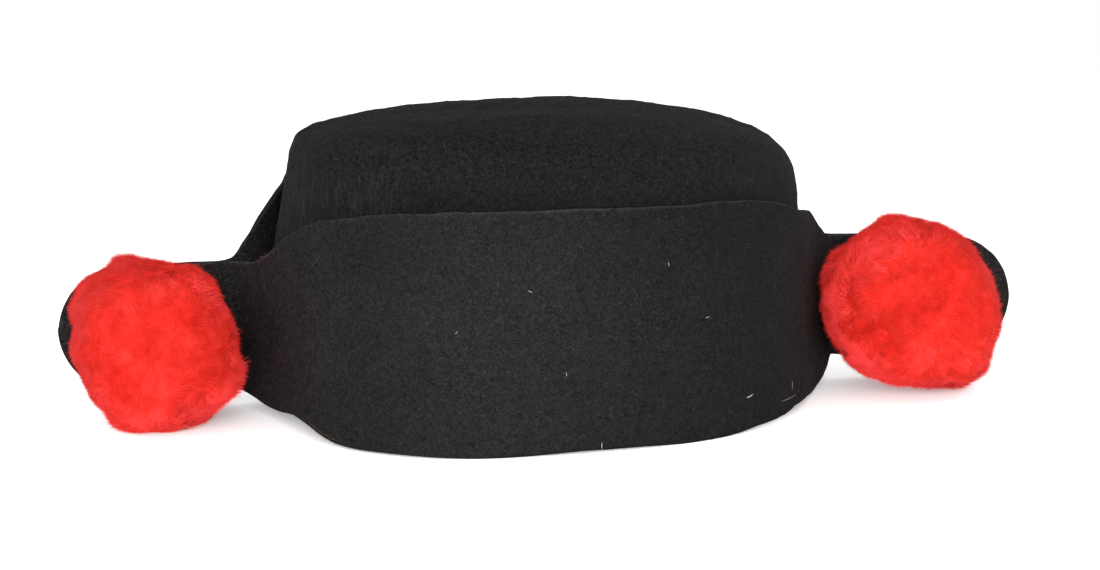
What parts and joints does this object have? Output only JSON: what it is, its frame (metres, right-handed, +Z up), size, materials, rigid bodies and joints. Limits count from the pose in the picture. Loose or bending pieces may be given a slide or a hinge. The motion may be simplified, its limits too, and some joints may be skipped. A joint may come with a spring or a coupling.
{
  "type": "matador hat",
  "caption": "Matador hat of black felt: a domed crown between upright panels, whose rounded ends meet as ears that each carry a red plush pompom.",
  "frame": {"origin": "middle of the hat's outline, on the surface that it rests on", "axes": "+Z is up, the hat's front faces -Y, and +X points to the ear at the viewer's right"},
  "size_m": [0.3394, 0.2042, 0.1045],
  "materials": {
    "felt": "matt black felt",
    "plush": "red plush pile"
  },
  "bodies": {
    "root": {"crown": "felt", "front_panel": "felt", "back_panel": "felt", "pompom_left": "plush", "pompom_right": "plush"}
  },
  "joints": []
}
